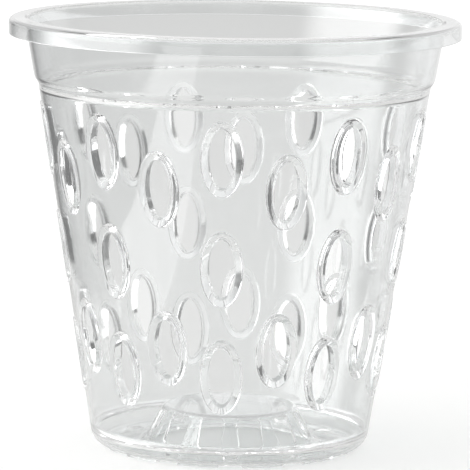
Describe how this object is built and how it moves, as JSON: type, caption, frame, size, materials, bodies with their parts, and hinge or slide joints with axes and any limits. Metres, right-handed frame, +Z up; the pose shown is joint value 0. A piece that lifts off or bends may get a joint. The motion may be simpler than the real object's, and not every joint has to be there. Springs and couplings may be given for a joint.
{
  "type": "orchid pot",
  "caption": "Clear plastic orchid pot with a turned-down rim, a plain collar, a tapering wall with beaded oval slots and a floor with a raised, windowed centre.",
  "frame": {"origin": "middle of the underside, on the plane that the feet stand on", "axes": "+Z up along the pot's axis; -Y is the front, through one of the columns of three slots"},
  "size_m": [0.12, 0.12, 0.1145],
  "materials": {
    "clear_plastic": "clear, gloss, as moulded"
  },
  "bodies": {
    "root": {"rim": "clear_plastic", "collar": "clear_plastic", "slotted_wall": "clear_plastic", "floor": "clear_plastic", "feet": "clear_plastic", "raised_centre": "clear_plastic"}
  },
  "joints": []
}
